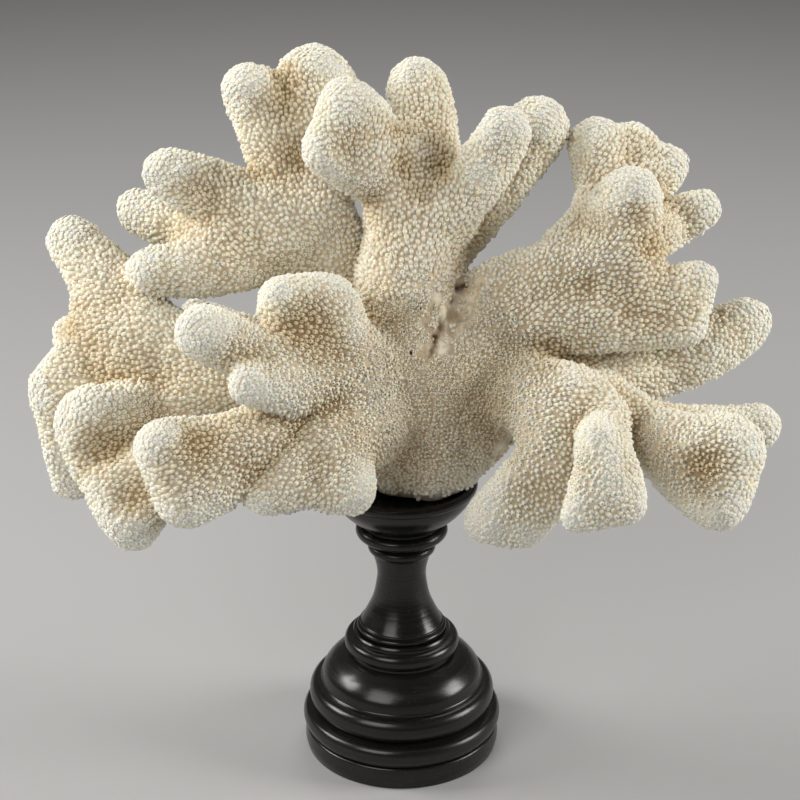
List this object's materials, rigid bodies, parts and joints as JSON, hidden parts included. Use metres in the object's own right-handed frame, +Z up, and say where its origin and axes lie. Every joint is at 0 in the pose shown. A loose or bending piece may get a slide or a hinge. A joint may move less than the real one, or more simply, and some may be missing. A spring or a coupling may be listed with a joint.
{
  "type": "branching coral on a turned stand",
  "caption": "Branching white stony coral with blunt, lobed fingers, resting in the cup of a black turned wooden pedestal.",
  "frame": {"origin": "centre of the stand's flat underside, on the surface that it stands on", "axes": "+Z up along the stand's turning axis, +X to the right and -Y to the front as the coral is shown"},
  "size_m": [0.2862, 0.1434, 0.2786],
  "materials": {
    "turned_wood": "black ebonised, satin",
    "coral": "matte, finely pitted"
  },
  "bodies": {
    "root": {"stand_foot": "turned_wood", "stand_stem": "turned_wood", "stand_cup": "turned_wood", "coral_trunk": "coral", "coral_upper_centre": "coral", "coral_upper_left": "coral", "coral_upper_right": "coral", "coral_right_finger": "coral", "coral_right_low": "coral", "coral_front_right": "coral", "coral_front_left": "coral", "coral_front_low": "coral", "coral_left": "coral", "coral_left_low": "coral", "coral_rear_left": "coral"}
  },
  "joints": []
}
